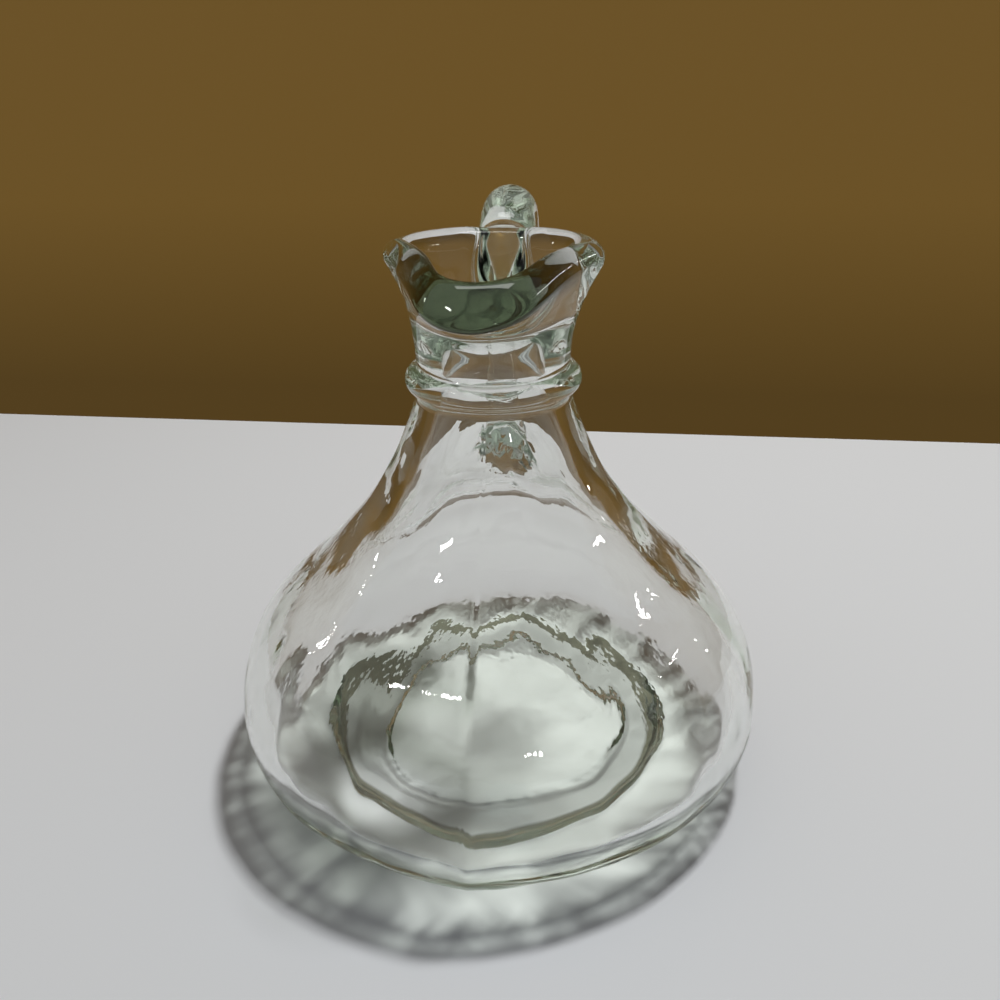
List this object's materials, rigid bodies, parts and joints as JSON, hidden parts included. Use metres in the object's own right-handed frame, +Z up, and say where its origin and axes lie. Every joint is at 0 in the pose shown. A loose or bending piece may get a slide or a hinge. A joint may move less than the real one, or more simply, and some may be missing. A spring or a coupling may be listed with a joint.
{
  "type": "glass cruet",
  "caption": "Squat clear glass cruet with a hollow body, a ringed neck, a flared lip drawn into a spout and a loop handle, for serving oil or vinegar.",
  "frame": {"origin": "middle of the foot, on the surface that the cruet stands on", "axes": "+Z up along the neck, the spout towards -Y and the handle towards +Y"},
  "size_m": [0.1, 0.1026, 0.1046],
  "materials": {
    "glass": "clear gloss"
  },
  "bodies": {
    "root": {"cruet": "glass"}
  },
  "joints": []
}
